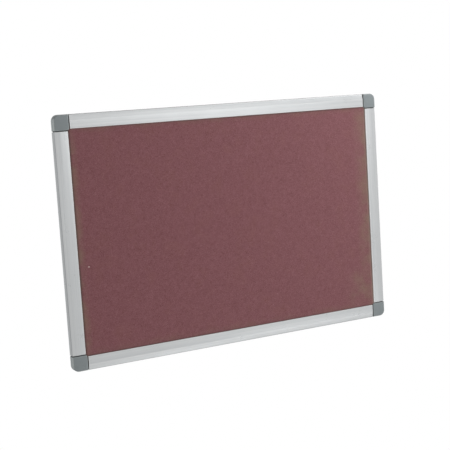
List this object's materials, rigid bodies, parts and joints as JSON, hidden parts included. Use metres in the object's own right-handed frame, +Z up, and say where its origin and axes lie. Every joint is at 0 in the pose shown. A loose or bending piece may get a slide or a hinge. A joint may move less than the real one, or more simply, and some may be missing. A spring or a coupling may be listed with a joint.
{
  "type": "pinboard",
  "caption": "Framed felt pinboard: aluminium rails and corner brackets hold a felt-faced fibreboard panel, with pull-off corner caps over the wall screw holes.",
  "frame": {"origin": "middle of the board, in the plane of its back that lies against the wall", "axes": "+X to the right as seen from the front, +Y back into the wall, +Z up"},
  "size_m": [0.9, 0.018, 0.6],
  "materials": {
    "anodised_aluminium": "satin anodised",
    "grey_abs": "moulded, fine satin",
    "black_nylon": "moulded, matt",
    "zinc_plated_steel": "bright zinc plate",
    "felt": "needled wool-blend felt, maroon",
    "fibreboard": "soft fibreboard",
    "hardboard": "hardboard, smooth side out"
  },
  "bodies": {
    "board": {"rail_top": "anodised_aluminium", "rail_bottom": "anodised_aluminium", "rail_left": "anodised_aluminium", "rail_right": "anodised_aluminium", "corner_bracket_top_left": "black_nylon", "corner_bracket_top_right": "black_nylon", "corner_bracket_bottom_left": "black_nylon", "corner_bracket_bottom_right": "black_nylon", "bracket_screw_top_left_1": "zinc_plated_steel", "bracket_screw_top_left_2": "zinc_plated_steel", "bracket_screw_top_right_1": "zinc_plated_steel", "bracket_screw_top_right_2": "zinc_plated_steel", "bracket_screw_bottom_left_1": "zinc_plated_steel", "bracket_screw_bottom_left_2": "zinc_plated_steel", "bracket_screw_bottom_right_1": "zinc_plated_steel", "bracket_screw_bottom_right_2": "zinc_plated_steel", "backing_sheet": "hardboard", "core_board": "fibreboard", "felt_cover": "felt"},
    "top_left_cap": {"corner_cap_top_left": "grey_abs"},
    "top_right_cap": {"corner_cap_top_right": "grey_abs"},
    "bottom_left_cap": {"corner_cap_bottom_left": "grey_abs"},
    "bottom_right_cap": {"corner_cap_bottom_right": "grey_abs"}
  },
  "joints": [
    {"name": "top_left_cap_pull", "type": "slide", "parent": "board", "child": "top_left_cap", "axis": [0, -1, 0], "range_m": [0, 0.02]},
    {"name": "top_right_cap_pull", "type": "slide", "parent": "board", "child": "top_right_cap", "axis": [0, -1, 0], "range_m": [0, 0.02]},
    {"name": "bottom_left_cap_pull", "type": "slide", "parent": "board", "child": "bottom_left_cap", "axis": [0, -1, 0], "range_m": [0, 0.02]},
    {"name": "bottom_right_cap_pull", "type": "slide", "parent": "board", "child": "bottom_right_cap", "axis": [0, -1, 0], "range_m": [0, 0.02]}
  ]
}
